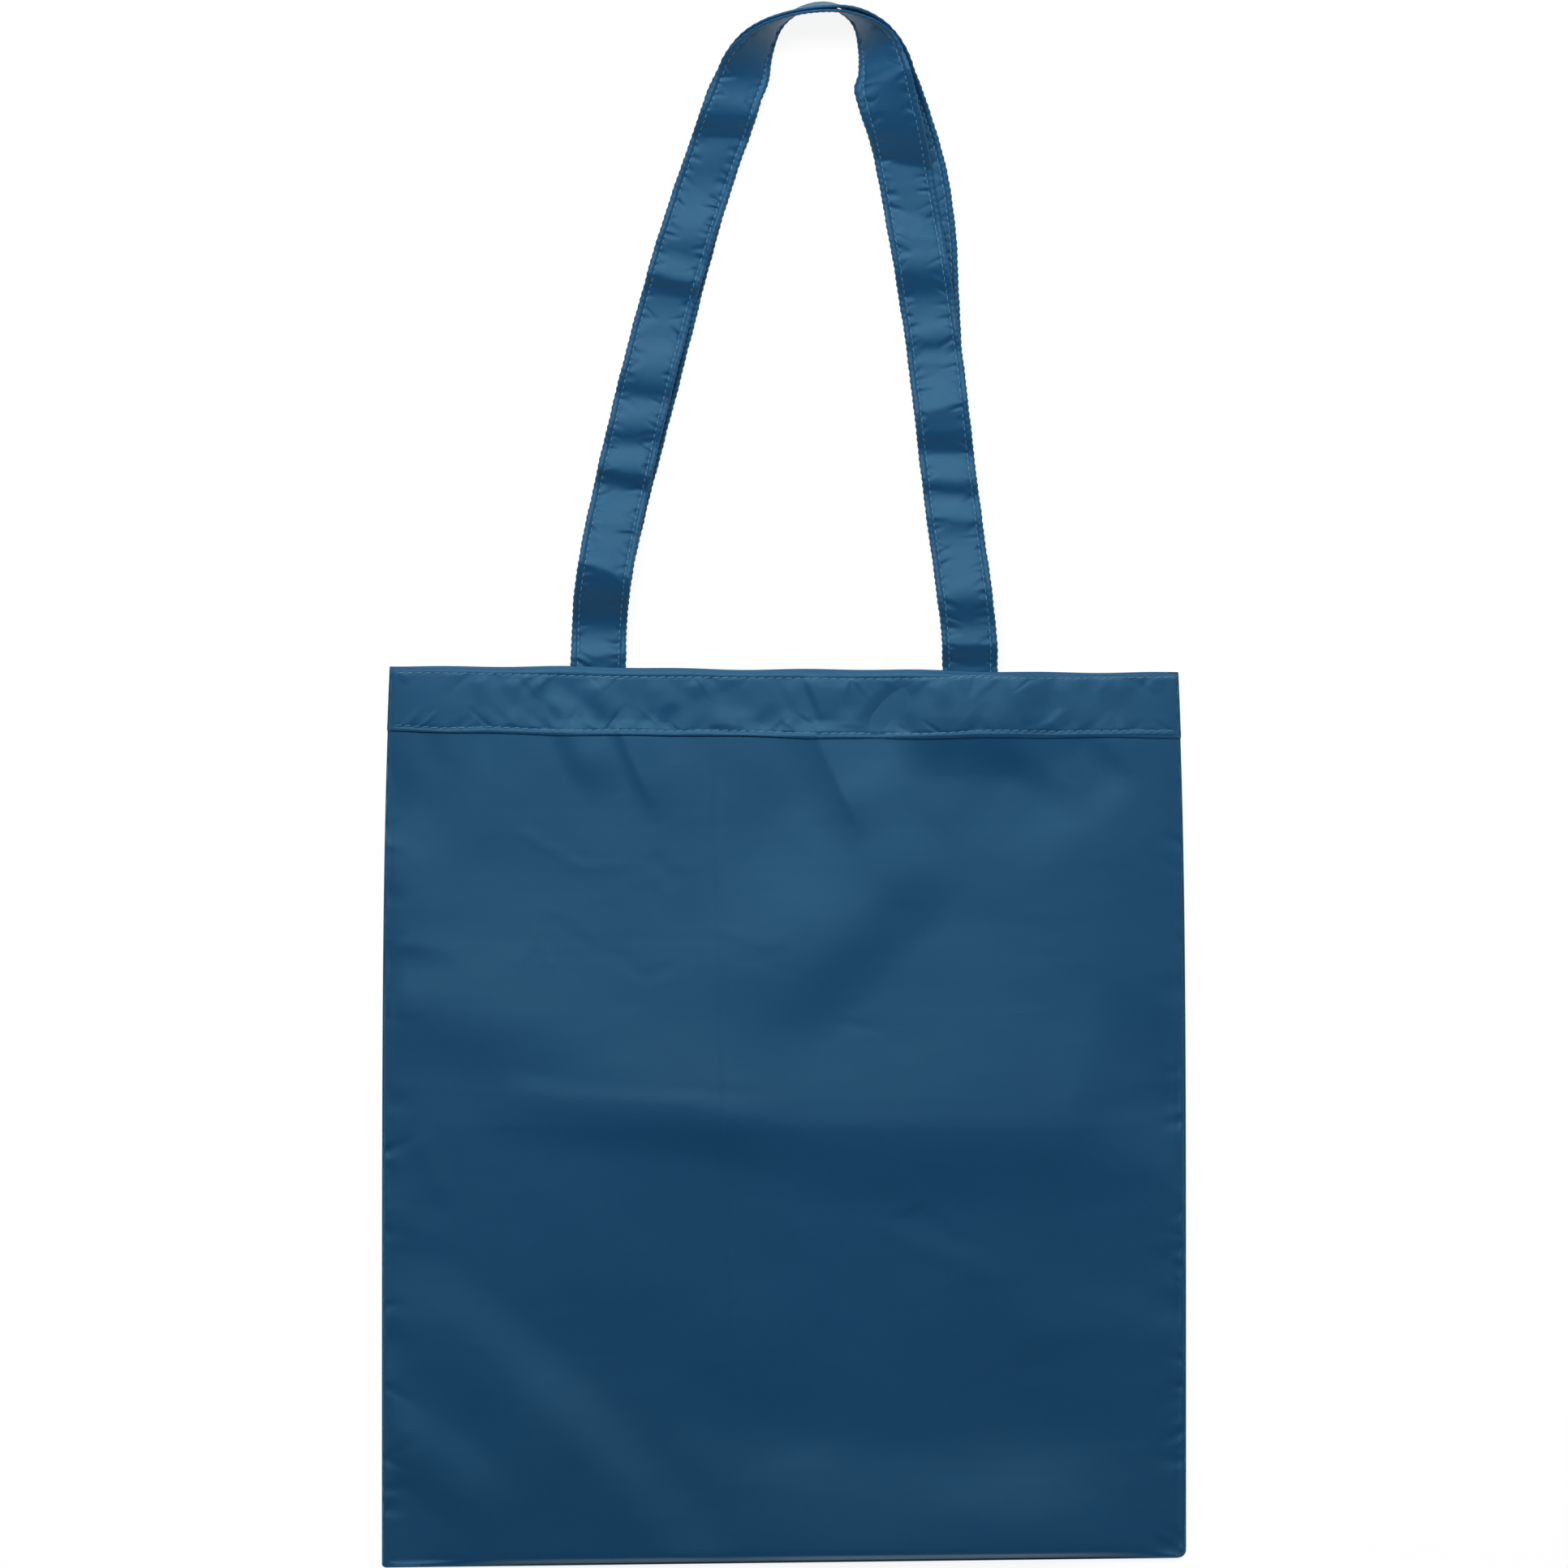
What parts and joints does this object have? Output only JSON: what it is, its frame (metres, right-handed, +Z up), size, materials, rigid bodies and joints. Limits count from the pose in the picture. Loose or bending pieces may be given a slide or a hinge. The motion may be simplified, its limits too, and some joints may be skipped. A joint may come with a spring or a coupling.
{
  "type": "fabric shopping bag",
  "caption": "Thin woven shopping bag lying flat, open at the mouth, with a turned-in hem and long folded-strip handles bent into a loop.",
  "frame": {"origin": "on the surface that the bag lies on, under the middle of its whole length and width", "axes": "+Y from the foot of the bag to the top of the handles, +Z up out of the front panel, +X to the right seen from the front"},
  "size_m": [0.3808, 0.742, 0.0261],
  "materials": {
    "bag_cloth": "thin woven polyester, petrol blue, satin",
    "handle_cloth": "the same cloth folded into strips, petrol blue, satin"
  },
  "bodies": {
    "root": {"bag_body": "bag_cloth", "front_handle": "handle_cloth", "back_handle": "handle_cloth"}
  },
  "joints": []
}
